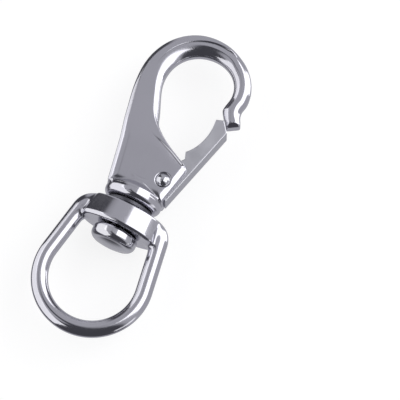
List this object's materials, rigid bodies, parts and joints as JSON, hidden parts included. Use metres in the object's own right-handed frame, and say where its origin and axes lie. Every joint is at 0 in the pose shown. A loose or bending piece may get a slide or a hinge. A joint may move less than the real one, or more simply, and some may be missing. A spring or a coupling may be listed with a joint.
{
  "type": "swivel hook",
  "caption": "Snap hook with a sprung gate on a swivelling rod eye, polished stainless steel rigging hardware.",
  "frame": {"origin": "middle of the whole hook's bounding box, with the hook lying flat", "axes": "+Y along the swivel axis from the eye to the hook, +X towards the gate side, +Z across the thickness, away from the surface it lies on"},
  "size_m": [0.0375, 0.0991, 0.0186],
  "materials": {
    "polished_casting": "mirror-polished stainless steel casting",
    "pressed_sheet": "polished stainless steel sheet",
    "turned_steel": "polished stainless steel",
    "spring_wire": "drawn stainless spring wire"
  },
  "bodies": {
    "hook": {"hook_body": "polished_casting", "gate_pin": "turned_steel", "swivel_pin": "turned_steel"},
    "gate": {"gate": "pressed_sheet", "gate_spring": "spring_wire"},
    "eye": {"swivel_eye": "polished_casting"},
    "washer": {"thrust_washer": "pressed_sheet"}
  },
  "joints": [
    {"name": "gate_hinge", "type": "hinge", "parent": "hook", "child": "gate", "pos_m": [0.00571, 0.0021, 0], "axis": [0, 0, 1], "range_deg": [0, 38], "stiffness_Nm_per_rad": 0.06, "springref_deg": -28.65, "deforming": ["gate_spring"]},
    {"name": "swivel", "type": "hinge", "parent": "hook", "child": "eye", "pos_m": [-0.00049, 0, 0], "axis": [0, 1, 0], "continuous": true},
    {"name": "washer_spin", "type": "hinge", "parent": "hook", "child": "washer", "pos_m": [-0.00049, 0, 0], "axis": [0, 1, 0], "continuous": true}
  ]
}
